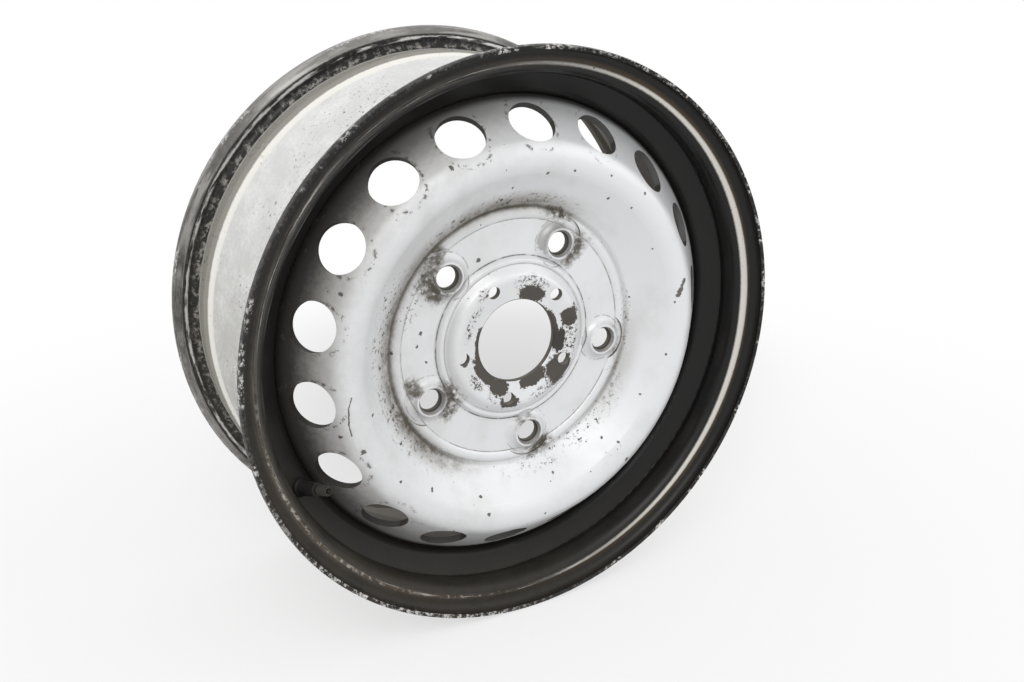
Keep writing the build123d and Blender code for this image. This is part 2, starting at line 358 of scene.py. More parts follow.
PLACE = Effect(
    "wheel place",
    {"Position": Kind.VECTOR, "Normal": Kind.VECTOR},
    {**values("Radius", "Depth", "Angle", "Outward", "Outboard"), "Turn": Kind.VECTOR},
    wheel_place,
)
RING = Effect("ring", values("Value", "Middle", "Half Width", "Softness"), values("Mask"), ring_mask)
PATCH = Effect(
    "ragged patch",
    values(
        "Radius", "Angle", "Ragged", "Middle Radius", "Half Width", "Middle Angle", "Half Span", "Softness"
    ),
    values("Mask"),
    patch_mask,
)
SCAR = Effect(
    "scar",
    {
        "Position": Kind.VECTOR,
        "Start": Kind.VECTOR,
        "End": Kind.VECTOR,
        **values("Half Width", "Ragged"),
    },
    values("Mask"),
    scar_mask,
)
SPECKLE = Effect(
    "specks",
    {"Position": Kind.VECTOR, **values("Spacing", "Amount", "Size", "Ragged")},
    values("Mask"),
    speckle_mask,
)
NEAREST = Effect(
    "nearest hole",
    values("Radius", "Angle", "Circle", "Pitch", "Phase"),
    values("Distance"),
    nearest_hole,
)
GRIME = Effect("grime", {"Position": Kind.VECTOR, **values("Amount")}, values("Mask"), grime_mask)


@dataclass(frozen=True)
class Coat:
    """A paint, bare metal or dirt, some of them also laid as painted shade, highlight, glint or sheen: its
    linear colour, metallic share and roughness.
    """

    color: Colour
    metallic: float
    roughness: float


SILVER = Coat((0.70, 0.705, 0.715), 0.25, 0.36)
SILVER_WORN_AND_SHADE = Coat((0.52, 0.52, 0.51), 0.25, 0.45)
BLACK = Coat((0.010, 0.0095, 0.0095), 0.0, 0.32)
DUSTY_BLACK = Coat((0.040, 0.034, 0.026), 0.0, 0.60)
FLAKED = Coat((0.058, 0.051, 0.042), 0.0, 0.66)
BARE_STEEL_AND_GLINT = Coat((0.60, 0.59, 0.575), 0.55, 0.34)
GREY_STEEL_AND_SHADE = Coat((0.26, 0.255, 0.245), 0.4, 0.46)
CREAM = Coat((0.60, 0.575, 0.53), 0.1, 0.48)
RUST_BROWN = Coat((0.085, 0.060, 0.036), 0.0, 0.72)
DIRT = Coat((0.062, 0.052, 0.034), 0.0, 0.78)
SOOT_AND_SHADE = Coat((0.018, 0.016, 0.013), 0.0, 0.66)
BROWN_FILM_AND_SHADE = Coat((0.15, 0.133, 0.104), 0.0, 0.72)
BARREL_WHITE = Coat((0.80, 0.80, 0.785), 0.15, 0.42)
HUMP_HIGHLIGHT = Coat((0.80, 0.78, 0.73), 0.1, 0.44)
DUST_AND_SHEEN_GREY = Coat((0.15, 0.142, 0.128), 0.0, 0.5)
WORN_LIP = Coat((0.40, 0.39, 0.37), 0.3, 0.42)
SEAT_GREY = Coat((0.27, 0.255, 0.23), 0.1, 0.58)
RUBBER = Coat((0.012, 0.012, 0.013), 0.0, 0.58)
STEM_BRASS = Coat((0.20, 0.17, 0.12), 0.85, 0.38)
CORE_BRASS = Coat((0.55, 0.44, 0.24), 0.85, 0.38)
CORE_STEEL = Coat((0.46, 0.45, 0.43), 0.85, 0.38)
SPRING_STEEL = Coat((0.50, 0.50, 0.49), 0.85, 0.38)
GASKET_RED = Coat((0.45, 0.08, 0.05), 0.0, 0.6)
SEAL_BLACK = Coat((0.022, 0.022, 0.023), 0.0, 0.6)


@dataclass(frozen=True)
class Patch:
    """A patch in polar places: middle angle and half span in degrees, radius and half width in mm."""

    angle: float
    span: float
    radius: float
    width: float


@dataclass(frozen=True)
class Scar:
    """A chip, or a scratch where it has an end: angle in degrees, radius and half width in mm."""

    angle: float
    radius: float
    width: float
    end_angle: float | None = None
    end_radius: float | None = None

    def ends(self) -> tuple[Place, Place]:
        """Start and end in the plane across the spin axis."""
        start = (self.angle, self.radius)
        end = start if self.end_angle is None else (self.end_angle, self.end_radius)
        turned = [(math.radians(angle), radius) for angle, radius in (start, end)]
        return tuple((radius * math.cos(a), 0.0, radius * math.sin(a)) for a, radius in turned)


@dataclass(frozen=True)
class Band:
    """Values about a middle one: half width and softness of the edges, in mm or degrees."""

    middle: float
    half: Amount
    soft: float


@dataclass(frozen=True)
class Grain:
    """Blots of noise: their size in mm, where their mask rises, and the noise's detail and roughness."""

    size: float
    low: float
    high: float
    detail: float = 3.0
    rough: float = 0.55


class Finish:
    """One material under way: its place on the wheel and its layers of coats."""

    patch_rag: float = 1.7
    jagged_share: float = 0.4
    scar_rag: float = 3.0

    def __init__(self, name: str, base: Coat) -> None:
        """Starts the material with one coat all over."""
        self.material = bpy.data.materials.new(name)
        self.material.use_nodes = True
        self.weave = Weave(self.material.node_tree)
        self.shader = self.material.node_tree.nodes["Principled BSDF"]
        coordinates = self.weave.node("ShaderNodeTexCoord")
        metres = Field(self.weave, coordinates.outputs["Object"])
        self.position = self.weave.scaled(metres, 1.0 / MM)
        normal = Field(self.weave, coordinates.outputs["Normal"])
        place = self.weave.use(PLACE, Position=self.position, Normal=normal)
        self.radius = place["Radius"]
        self.depth = place["Depth"]
        self.angle = place["Angle"]
        self.outward = place["Outward"]
        self.outboard = place["Outboard"]
        self.turn = place["Turn"]
        self.ragged = self.weave.noise(self.position, size=4.6, detail=6.0, rough=0.68) - 0.5
        self.jagged = self.weave.noise(self.position, size=1.5, detail=4.0, rough=0.6) - 0.45
        self.fine = self.weave.noise(self.position, size=0.9, rough=0.6) - 0.5
        self.color: Field | Colour = base.color
        self.metallic: Amount = base.metallic
        self.roughness: Amount = base.roughness

    def cover(self, coat: Coat, share: Field) -> None:
        """Lays a coat over the ones below, as far as the mask says."""
        self.color = self.weave.tone(share, self.color, coat.color)
        self.metallic = self.mixed(share, self.metallic, coat.metallic)
        self.roughness = self.mixed(share, self.roughness, coat.roughness)

    def mixed(self, share: Field, below: Amount, above: float) -> Amount:
        """Mix of two numbers, which stays a plain number where both are the same."""
        return below if below == above else self.weave.blend(share, below, above)

    def ring(self, value: Field, band: Band) -> Field:
        """Mask of a band of the given field."""
        inputs = {"Value": value, "Middle": band.middle, "Half Width": band.half, "Softness": band.soft}
        return self.weave.use(RING, **inputs)["Mask"]

    def sector(self, band: Band) -> Field:
        """Mask of a band of angles, in degrees."""
        turn = self.weave.math("WRAP", self.angle - band.middle, 180.0, -180.0)
        return self.ring(turn, Band(0.0, band.half, band.soft))

    def grains(self, grain: Grain) -> Field:
        """Mask of blots of noise."""
        blots = self.weave.noise(self.position, grain.size, grain.detail, grain.rough)
        return self.weave.step(blots, grain.low, grain.high)

    def patch(self, patch: Patch, soft: float = 0.06) -> Field:
        """Ragged patch at a polar place."""
        inputs = {
            "Radius": self.radius,
            "Angle": self.angle,
            "Ragged": (self.ragged + self.jagged * self.jagged_share) * self.patch_rag,
            "Middle Radius": patch.radius,
            "Half Width": patch.width,
            "Middle Angle": patch.angle,
            "Half Span": patch.span,
            "Softness": soft,
        }
        return self.weave.use(PATCH, **inputs)["Mask"]

    def scar(self, scar: Scar) -> Field:
        """Chip or scratch at a polar place."""
        start, end = scar.ends()
        inputs = {
            "Position": self.position,
            "Start": start,
            "End": end,
            "Half Width": scar.width,
            "Ragged": self.jagged * self.scar_rag,
        }
        return self.weave.use(SCAR, **inputs)["Mask"]

    def specks(self, spacing: float, amount: Amount, size: float) -> Field:
        """Scattered specks: cell spacing in mm, share of cells that hold one, and their relative size."""
        inputs = {
            "Position": self.position,
            "Spacing": spacing,
            "Amount": amount,
            "Size": size,
            "Ragged": self.fine,
        }
        return self.weave.use(SPECKLE, **inputs)["Mask"]

    def grime(self, amount: Amount) -> Field:
        """Uneven dirt of the given thickness."""
        return self.weave.use(GRIME, Position=self.position, Amount=amount)["Mask"]

    def hole_distance(self, circle: float, count: int, phase: float) -> Field:
        """Distance from the nearest of several holes on a circle, in mm."""
        inputs = {
            "Radius": self.radius,
            "Angle": self.angle,
            "Circle": circle,
            "Pitch": 360.0 / count,
            "Phase": phase,
        }
        return self.weave.use(NEAREST, **inputs)["Distance"]

    def done(self, height: Field | None = None, depth: float = 0.0) -> bpy.types.Material:
        """Joins the layers to the shader.

        Args:
            height: Bump height from 0 to 1, if the surface has one.
            depth: Size of the bump in millimetres.

        Returns:
            The finished material.
        """
        color = self.color if isinstance(self.color, Field) else (*self.color, 1.0)
        self.weave.feed(self.shader.inputs["Base Color"], color)
        self.weave.feed(self.shader.inputs["Metallic"], self.metallic)
        self.weave.feed(self.shader.inputs["Roughness"], self.roughness)
        if height is not None:
            bump = self.weave.node("ShaderNodeBump")
            bump.inputs["Strength"].default_value = 1.0
            bump.inputs["Distance"].default_value = depth * MM
            self.weave.feed(bump.inputs["Height"], height)
            self.weave.feed(self.shader.inputs["Normal"], Field(self.weave, bump.outputs["Normal"]))
        return self.material


def dress(node: str, material: bpy.types.Material) -> None:
    """Gives a CAD node its material and reports it."""
    piece = frame["nodes"][node]
    piece.data.materials.clear()
    piece.data.materials.append(material)
    log.info("dressed %s with %s", node, material.name)


def mount(name: str) -> dict:
    """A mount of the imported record, by name."""
    return next(entry for entry in frame["record"]["mounts"] if entry["name"] == name)


@dataclass
class Disc:
    """The pressed disc: worn silver paint, flaked on the nave and dirty in its grooves, with painted shade
    in its holes, its creases and down its left.
    """

    bolt_phase: float = 62.2
    vent_circle: float = 164.8
    vent_count: int = 18
    vent_phase: float = 26.1
    vent_tilt: float = math.radians(49.5)
    front_facing: Span = (0.02, 0.2)
    peel_size: float = 1.4
    bump: float = 0.12
    worn_clouds: Grain = Grain(38.0, 0.45, 0.75, 4.0, 0.6)
    dirt_and_shade_left: Band = Band(170.0, 66.0, 45.0)
    film_radii: Span = (140.0, 168.0)
    rim_shade_radii: Span = (157.0, 176.0)
    seam_radii: Span = (176.0, 181.0)
    groove_upper: Band = Band(98.0, 30.0, 24.0)
    groove_lower: Band = Band(212.0, 26.0, 24.0)
    groove_right: Band = Band(336.0, 20.0, 20.0)
    groove_left: Band = Band(150.0, 75.0, 30.0)
    groove_wash: Band = Band(106.4, 6.0, 7.0)
    groove_bank: Band = Band(105.4, 4.0, 3.5)
    groove_floor: Band = Band(103.0, 1.5, 1.4)
    bank_left: Band = Band(168.0, 26.0, 24.0)
    thick_dirt: Grain = Grain(8.0, 0.42, 0.60, 6.0, 0.7)
    line_breaks: Grain = Grain(9.0, 0.36, 0.55)
    line_turn: float = 60.0
    # Lines in the creases of the pressing: dirt in the sharp crease at 65.6 mm, painted shade along the
    # soft creases at 93.3 mm and 59.6 mm.
    lines: tuple[tuple[Band, Coat, float], ...] = (
        (Band(65.6, 0.42, 0.4), SOOT_AND_SHADE, 0.9),
        (Band(93.3, 0.35, 0.4), BROWN_FILM_AND_SHADE, 0.75),
        (Band(59.6, 0.40, 0.4), SILVER_WORN_AND_SHADE, 0.7),
    )
    # Painted shade: grey laid on the nave's shoulder and on the bead's flank down the left.
    shaded_left: Band = Band(165.0, 50.0, 45.0)
    shades: tuple[tuple[Band, float], ...] = (
        (Band(57.1, 1.5, 4.0), 0.5),
        (Band(65.6, 0.8, 1.6), 0.4),
    )
    splash_flecks: Grain = Grain(3.6, 0.55, 0.60, 6.0, 0.75)
    bolt_soot: Grain = Grain(6.0, 0.34, 0.54, 6.0, 0.72)
    rubbed_seat: Patch = Patch(70, 9, 84, 14)
    seat_pad: Band = Band(14.5, 3.2, 1.2)
    seat_ring: Band = Band(18.6, 0.35, 0.4)
    ring_breaks: Grain = Grain(7.0, 0.44, 0.58)
    seat_cone_radii: Span = (10.9, 10.2)
    bolt_wall_radii: Span = (9.4, 8.9)
    nave_flecks: Grain = Grain(2.3, 0.52, 0.56, 6.0, 0.75)
    bore_wall_radii: Span = (33.2, 32.9)
    nave_shadow: Band = Band(350.0, 18.0, 12.0)
    chip_crowd: Grain = Grain(34.0, 0.46, 0.68)
    vent_edge: Band = Band(18.4, 1.0, 1.2)
    vent_bitten: Band = Band(150.0, 80.0, 30.0)
    bites: Span = (0.02, 0.08)
    vent_wall_radii: Span = (142.0, 144.0)
    wall_facing: Span = (0.5, 0.3)
    wall_facing_back: Span = (-0.7, -0.5)
    flakes: tuple[Patch, ...] = (
        Patch(16, 9, 48, 8),
        Patch(72, 17, 38, 6),
        Patch(190, 34, 33.6, 2.8),
        Patch(216, 24, 35.5, 5.2),
        Patch(246, 13, 38, 7.4),
        Patch(261, 9.5, 49.5, 5),
        Patch(321, 16, 46, 10.5),
        Patch(294, 20, 36, 5.5),
        Patch(352, 14, 37.5, 5),
        Patch(8, 30, 34, 2.6),
        Patch(191, 4.5, 46, 2.6),
    )
    sprinkled: tuple[Patch, ...] = (
        Patch(75, 18, 47, 6),
        Patch(218, 12, 46, 4),
        Patch(298, 15, 49.5, 4.5),
        Patch(355, 22, 47, 6),
        Patch(152, 20, 44, 3.5),
        Patch(124, 8, 50, 4),
        Patch(249, 13, 47, 5),
    )
    splashes: tuple[Patch, ...] = (
        Patch(164, 18, 113, 9),
        Patch(205, 26, 111, 8),
        Patch(100, 30, 109, 6),
        Patch(300, 28, 108, 6),
        Patch(148, 14, 92, 6),
        Patch(352, 18, 100, 5),
    )
    bolt_dirt: tuple[Patch, ...] = (
        Patch(141, 7, 89, 10),
        Patch(143, 7, 78, 8),
        Patch(131, 5, 98, 6),
        Patch(212, 11, 67, 8),
        Patch(220, 5, 74, 7),
        Patch(196, 5, 88, 6),
        Patch(50, 5, 82, 14),
        Patch(68, 7, 101, 4),
        Patch(277, 6, 72, 6),
        Patch(283, 7, 96, 8),
    )
    scars: tuple[Scar, ...] = (
        Scar(167, 79, 1.2),
        Scar(174.4, 80.4, 1.1),
        Scar(184.4, 73.4, 0.8),
        Scar(113.8, 72, 1.4),
        Scar(176, 101, 1.3),
        Scar(113, 152.8, 1.3),
        Scar(83, 130.7, 1.0),
        Scar(74, 134.8, 0.8),
        Scar(61, 140.6, 0.7),
        Scar(97, 111.4, 1.0),
        Scar(94, 120.2, 0.8),
        Scar(56, 126.2, 0.9),
        Scar(47, 131.2, 0.8),
        Scar(47, 145.5, 1.0),
        Scar(28, 127.6, 0.7),
        Scar(156, 155.7, 1.2),
        Scar(201.5, 144.9, 1.7),
        Scar(195, 154.4, 1.1),
        Scar(218, 136.1, 1.0),
        Scar(231, 127.8, 1.1),
        Scar(154, 120.9, 1.0),
        Scar(193, 127.8, 0.9),
        Scar(211, 117.3, 1.0),
        Scar(252, 124.3, 1.1),
        Scar(255, 135.5, 1.2),
        Scar(284, 119.5, 0.9),
        Scar(276, 144.0, 0.9),
        Scar(309, 147.6, 1.6),
        Scar(308, 120.7, 0.9),
        Scar(311, 130.5, 0.9),
        Scar(330, 125.4, 0.8),
        Scar(347, 132.1, 0.8),
        Scar(12.8, 144.9, 1.4, 11.4, 141.8),
        Scar(10.3, 140.6, 1.7, 8.4, 137.6),
        Scar(6.2, 134.6, 0.8),
        Scar(184, 141.8, 0.35, 187, 145.0),
        Scar(187, 145.0, 0.45, 191.8, 147.3),
        Scar(191.8, 147.3, 0.35, 195.3, 147.7),
    )

    def dress(self) -> None:
        """Paints the disc."""
        finish = Finish("disc paint", SILVER)
        weave = finish.weave
        front = weave.step(finish.outboard, *self.front_facing)
        self.weather_and_shade(finish)
        self.soil_and_shade_grooves(finish)
        self.soil_and_shade_bolts(finish)
        flaking = self.flake_and_shade_nave(finish, front)
        chipping = self.chip(finish, front)
        self.soil_back_and_shade_vents(finish, front)
        peel = weave.noise(finish.position, self.peel_size, detail=2.0)
        paint = 1.0 - weave.most(flaking, chipping)
        dress("disc", finish.done(paint * 0.8 + peel * 0.2, self.bump))

    def weather_and_shade(self, finish: Finish) -> None:
        """Uneven greying of the paint, stronger down the left, and a dark band where the band meets the
        rim, partly soot and partly painted shade, much darker down the left.
        """
        weave = finish.weave
        finish.cover(SILVER_WORN_AND_SHADE, finish.grains(self.worn_clouds) * 0.4)
        left = finish.sector(self.dirt_and_shade_left)
        drift = finish.radius + finish.ragged * 9.0
        outer = weave.step(drift, *self.film_radii)
        film = finish.grime(0.55 + outer * 0.35) * left
        finish.cover(BROWN_FILM_AND_SHADE, film * (0.10 + outer * 0.62))
        # Partly soot, partly painted shade: darker where the band runs into the rim, much more down the
        # left.
        rim_shade = weave.step(drift, *self.rim_shade_radii)
        finish.cover(SOOT_AND_SHADE, rim_shade * (0.12 + left * 0.83))
        finish.cover(SOOT_AND_SHADE, weave.step(finish.radius, *self.seam_radii) * 0.9)

    def soil_and_shade_grooves(self, finish: Finish) -> None:
        """Dirt in the groove at the ridge and splashed up the slope, dark lines in the creases of the
        pressing that are partly dirt and partly painted shade, and painted shade on the nave's shoulder
        and the bead's flank down the left.
        """
        weave = finish.weave
        drift = finish.radius + finish.ragged * 2.4
        upper = finish.sector(self.groove_upper)
        lower = finish.sector(self.groove_lower)
        right = finish.sector(self.groove_right)
        share = weave.most(upper, lower, finish.sector(self.groove_left) * 0.8, right * 0.5)
        wash = finish.ring(drift, self.groove_wash)
        finish.cover(BROWN_FILM_AND_SHADE, wash * share * finish.grime(0.66) * 0.75)
        bank = finish.ring(drift, self.groove_bank)
        left = finish.sector(self.bank_left)
        piled = weave.most(lower, upper * 0.45, left * 0.65) * finish.grains(self.thick_dirt)
        finish.cover(DIRT, bank * piled * 0.9)
        groove = finish.ring(drift, self.groove_floor)
        finish.cover(DIRT, groove * (0.22 + share * 0.78) * finish.grime(0.92) * 0.95)
        # Painted shade on the nave's shoulder and the bead's flank down the left.
        shaded = finish.sector(self.shaded_left)
        for band, depth in self.shades:
            finish.cover(GREY_STEEL_AND_SHADE, finish.ring(finish.radius, band) * shaded * depth)
        around = weave.noise(weave.scaled(finish.turn, self.line_turn), self.line_breaks.size)
        broken = weave.step(around, self.line_breaks.low, self.line_breaks.high)
        # Dirt in the sharp crease, painted shade along the soft creases.
        for band, coat, depth in self.lines:
            line = finish.ring(finish.radius + finish.fine, band)
            finish.cover(coat, line * (0.25 + broken * 0.75) * depth)
        flecks = finish.grains(self.splash_flecks)
        for patch in self.splashes:
            finish.cover(DIRT, finish.patch(patch, soft=0.6) * flecks)

    def soil_and_shade_bolts(self, finish: Finish) -> None:
        """Dirt around the bolt seats, worn seats, and painted shade on the hole walls."""
        weave = finish.weave
        bolts = mount("hub_bolts")["dims"]
        away = finish.hole_distance(bolts["pcd_mm"] / 2, bolts["count"], self.bolt_phase)
        soot = finish.grains(self.bolt_soot)
        for patch in self.bolt_dirt:
            finish.cover(DIRT, finish.patch(patch, soft=0.5) * soot * 0.95)
        pad = finish.ring(away + finish.ragged * 1.5, self.seat_pad)
        rubbed = finish.patch(self.rubbed_seat, soft=0.2)
        finish.cover(GREY_STEEL_AND_SHADE, pad * (0.10 + rubbed * 0.6))
        rings = finish.ring(away + finish.fine, self.seat_ring)
        finish.cover(BROWN_FILM_AND_SHADE, rings * finish.grains(self.ring_breaks) * 0.7)
        finish.cover(GREY_STEEL_AND_SHADE, weave.step(away + finish.fine, *self.seat_cone_radii))
        # Painted shade: the walls of the bolt holes darkened all round.
        finish.cover(SOOT_AND_SHADE, weave.step(away, *self.bolt_wall_radii) * 0.9)

    def flake_and_shade_nave(self, finish: Finish, front: Field) -> Field:
        """Paint flaked off the nave, with painted shade on the flakes at the right.

        Args:
            finish: The material under way.
            front: Mask of the outboard side.

        Returns:
            Mask of the flaked places.
        """
        weave = finish.weave
        gone = weave.most(*(finish.patch(patch) for patch in self.flakes))
        speckled = finish.grains(self.nave_flecks)
        zones = weave.most(*(finish.patch(patch, soft=0.25) for patch in self.sprinkled))
        bore_wall = weave.step(finish.radius, *self.bore_wall_radii)
        mask = weave.most(gone, zones * speckled, bore_wall) * front
        finish.cover(FLAKED, mask)
        # Painted shade on the flakes to the right of the bore.
        finish.cover(SOOT_AND_SHADE, mask * finish.sector(self.nave_shadow) * 0.7)
        return mask

    def chip(self, finish: Finish, front: Field) -> Field:
        """Chips and scratches in the paint of the crown, and small specks all over.

        Args:
            finish: The material under way.
            front: Mask of the outboard side.

        Returns:
            Mask of the chipped places.
        """
        weave = finish.weave
        marks = weave.most(*(finish.scar(scar) for scar in self.scars))
        crowd = finish.grains(self.chip_crowd)
        large = finish.specks(spacing=6.5, amount=crowd * 0.30, size=0.13)
        small = finish.specks(spacing=3.1, amount=crowd * 0.12, size=0.17)
        vents = finish.hole_distance(self.vent_circle, self.vent_count, self.vent_phase)
        edge = finish.ring(vents, self.vent_edge) * finish.sector(self.vent_bitten)
        bitten = weave.step(finish.ragged, *self.bites) * edge
        mask = weave.most(marks, large, small, bitten) * front
        finish.cover(FLAKED, mask * 0.92)
        return mask

    def soil_back_and_shade_vents(self, finish: Finish, front: Field) -> None:
        """Grime on the inboard side, and painted shade on the walls of the vents."""
        weave = finish.weave
        behind = (1.0 - front) * finish.grime(0.95)
        finish.cover(BROWN_FILM_AND_SHADE, behind * 0.95)
        finish.cover(SOOT_AND_SHADE, (1.0 - front) * finish.grime(0.5) * 0.6)
        # Painted shade: the sideways walls of the vents darkened.
        facing = finish.outward * math.sin(self.vent_tilt) + finish.outboard * math.cos(self.vent_tilt)
        sideways = weave.step(facing, *self.wall_facing) * weave.step(facing, *self.wall_facing_back)
        finish.cover(SOOT_AND_SHADE, weave.step(finish.radius, *self.vent_wall_radii) * sideways * 0.85)


@dataclass
class Rim:
    """The rolled rim: black towards the hub, worn silver under the tyre, chipped along its lips, with a
    painted highlight on the hump, a painted glint on the rear flange and a painted sheen on the front
    corner.
    """

    middle_depth: float = -57.0
    crest_radius: float = 216.0
    tyre_facing: Span = (-0.1, 0.1)
    peel_size: float = 1.8
    bump: float = 0.03
    specular: float = 0.22
    dusty_left: Band = Band(225.0, 62.0, 50.0)
    dust_radii: Span = (186.0, 203.0)
    inside_depths: Span = (-6.0, -14.0)
    corner_radius: float = 206.9
    corner_depths: Span = (23.0, 24.0)
    corner_whole: Band = Band(5.0, 76.0, 26.0)
    corner_fringe: Band = Band(209.5, 2.0, 1.6)
    corner_wide: Band = Band(0.0, 38.0, 48.0)
    corner_sheen: Band = Band(206.9, 1.6, 3.2)
    corner_sheen_side: Band = Band(165.0, 75.0, 30.0)
    corner_low: Band = Band(222.0, 36.0, 16.0)
    corner_scuffs: Grain = Grain(4.5, 0.50, 0.62, 5.0, 0.7)
    flange_from_middle: Span = (77.0, 79.0)
    seat: Band = Band(67.0, 11.0, 0.9)
    # Painted highlight along the hump.
    hump_highlight: Band = Band(52.8, 3.2, 1.0)
    barrel_lower_left: Band = Band(205.0, 35.0, 45.0)
    barrel_crowd: Grain = Grain(40.0, 0.45, 0.65)
    barrel_flecks: Grain = Grain(2.6, 0.60, 0.64, 5.0, 0.7)
    flange_mottle: Grain = Grain(5.0, 0.48, 0.62, 6.0, 0.74)
    near_seat_radii: Span = (209.0, 204.0)
    rear_depths: Span = (-100.0, -110.0)
    worn_crest_radii: Span = (213.2, 214.2)
    worn_upper: Band = Band(105.0, 30.0, 35.0)
    crest_line: Band = Band(213.7, 0.5, 0.5)
    glint_line: Band = Band(211.4, 1.0, 0.8)
    chipped_left: Band = Band(236.0, 24.0, 34.0)
    chipped_right: Band = Band(62.0, 16.0, 14.0)
    chipped_crest_radii: Span = (218.6, 219.6)
    chipped_tip_from_middle: Span = (94.8, 95.9)
    lip_flecks: Grain = Grain(3.4, 0.50, 0.56, 5.0, 0.75)
    lip_crowd: Grain = Grain(22.0, 0.50, 0.60)

    def dress(self) -> None:
        """Paints the rim."""
        finish = Finish("rim paint", BLACK)
        finish.shader.inputs["Specular IOR Level"].default_value = self.specular
        weave = finish.weave
        offset = finish.depth - self.middle_depth
        side = weave.math("SIGN", offset)
        away = weave.math("ABSOLUTE", offset)
        tyre_side = weave.step(finish.outward - finish.outboard * side, *self.tyre_facing)
        self.dust(finish, tyre_side)
        self.line_corner(finish, tyre_side)
        self.paint_tyre_side(finish, tyre_side, away)
        self.chip_lips(finish, away)
        peel = weave.noise(finish.position, self.peel_size, detail=2.0)
        dress("rim", finish.done(peel, self.bump))

    def streaks(self, finish: Finish, length: float, width: float) -> Field:
        """Noise drawn out along the turn: blots of the given length and width in mm."""
        weave = finish.weave
        around = weave.scaled(finish.turn, self.crest_radius / length)
        x, z, _ = weave.parts(around)
        across = (finish.radius + finish.depth) * (1.0 / width)
        return weave.noise(weave.joined(x, z, across), size=1.0, detail=4.0, rough=0.62)

    def dust(self, finish: Finish, tyre_side: Field) -> None:
        """Dusty brown film on the black, mostly at the left and the bottom, and deep inside."""
        weave = finish.weave
        low_left = finish.sector(self.dusty_left)
        outer = weave.step(finish.radius, *self.dust_radii)
        finish.cover(DUSTY_BLACK, finish.grime(0.56) * (0.06 + low_left * (0.10 + outer * 0.62)))
        inside = weave.step(finish.depth, *self.inside_depths) * (1.0 - tyre_side)
        finish.cover(BROWN_FILM_AND_SHADE, inside * finish.grime(0.72) * 0.85)

    def line_corner(self, finish: Finish, tyre_side: Field) -> None:
        """Pale band on the corner where the flange turns into the seat, worn through at the left, and a
        broad grey band beside it down the left that is partly dust and partly a painted sheen.
        """
        weave = finish.weave
        hub_side = weave.step(finish.depth, *self.corner_depths) * (1.0 - tyre_side)
        whole = finish.sector(self.corner_whole)
        fringe = finish.ring(finish.radius + finish.ragged * 2.0, self.corner_fringe)
        finish.cover(RUST_BROWN, fringe * hub_side * (0.12 + whole * 0.6))
        half = 1.0 + finish.sector(self.corner_wide) * 1.9
        corner = Band(self.corner_radius, half, 0.9)
        band = finish.ring(finish.radius + finish.jagged * 0.9, corner) * hub_side
        lines = self.streaks(finish, length=40.0, width=1.1)
        # Partly dust, partly a painted sheen: a streaked grey band on the black corner down the left.
        sheen = finish.ring(finish.radius + finish.ragged * 3.0, self.corner_sheen) * hub_side
        sheen_streaks = weave.step(lines, 0.30, 0.62) * finish.sector(self.corner_sheen_side)
        finish.cover(DUST_AND_SHEEN_GREY, sheen * sheen_streaks * 0.8)
        worn = weave.step(lines, 0.56, 0.64) * 0.75
        low = finish.sector(self.corner_low)
        scuffed = finish.grains(self.corner_scuffs) * low
        finish.cover(RUST_BROWN, band * low * finish.grime(0.7) * 0.6)
        finish.cover(CREAM, band * weave.most(whole, worn * (1.0 - low * 0.4), scuffed * 0.6))
        finish.cover(BLACK, band * finish.specks(spacing=2.6, amount=0.10, size=0.3) * 0.9)

    def paint_tyre_side(self, finish: Finish, tyre_side: Field, away: Field) -> None:
        """Silver barrel, a painted highlight along the hump, grey seats, and black flanges worn bright
        under the tyre, with a painted glint along the rear flange.
        """
        weave = finish.weave
        jitter = away + finish.ragged * 1.6
        flange = weave.step(jitter, *self.flange_from_middle)
        inner = tyre_side * (1.0 - flange)
        finish.cover(BARREL_WHITE, inner)
        finish.cover(SILVER_WORN_AND_SHADE, inner * finish.grime(0.55) * 0.6)
        # A brown film darkens the barrel towards the lower left.
        finish.cover(BROWN_FILM_AND_SHADE, inner * finish.grime(0.6) * finish.sector(self.barrel_lower_left) * 0.4)
        seat = finish.ring(jitter, self.seat)
        finish.cover(SEAT_GREY, inner * seat * (0.45 + finish.grime(0.7) * 0.55))
        # Painted highlight: a bright cream line along the hump of the barrel.
        finish.cover(HUMP_HIGHLIGHT, inner * finish.ring(jitter, self.hump_highlight) * 0.9)
        flecks = finish.grains(self.barrel_crowd) * finish.grains(self.barrel_flecks)
        finish.cover(SOOT_AND_SHADE, inner * flecks * 0.9)
        rubbed = tyre_side * flange
        near_seat = weave.step(finish.radius, *self.near_seat_radii)
        mottled = finish.grains(self.flange_mottle) * (0.15 + near_seat * 0.75)
        finish.cover(SEAT_GREY, rubbed * mottled)
        lines = weave.step(self.streaks(finish, length=46.0, width=1.4), 0.40, 0.62)
        ragged_radius = finish.radius + finish.ragged * 2.0
        rear = weave.step(finish.depth, *self.rear_depths) * rubbed
        crest = weave.step(ragged_radius, *self.worn_crest_radii)
        upper = finish.sector(self.worn_upper)
        finish.cover(WORN_LIP, crest * (0.12 + lines * 0.50 + upper * 0.36) * rear)
        finish.cover(SOOT_AND_SHADE, finish.ring(finish.radius + finish.jagged, self.crest_line) * rear * 0.85)
        # Painted glint: bright streaks along the rear flange's curl.
        glint = weave.step(self.streaks(finish, length=24.0, width=3.0), 0.42, 0.56)
        finish.cover(BARE_STEEL_AND_GLINT, finish.ring(ragged_radius, self.glint_line) * glint * rear)

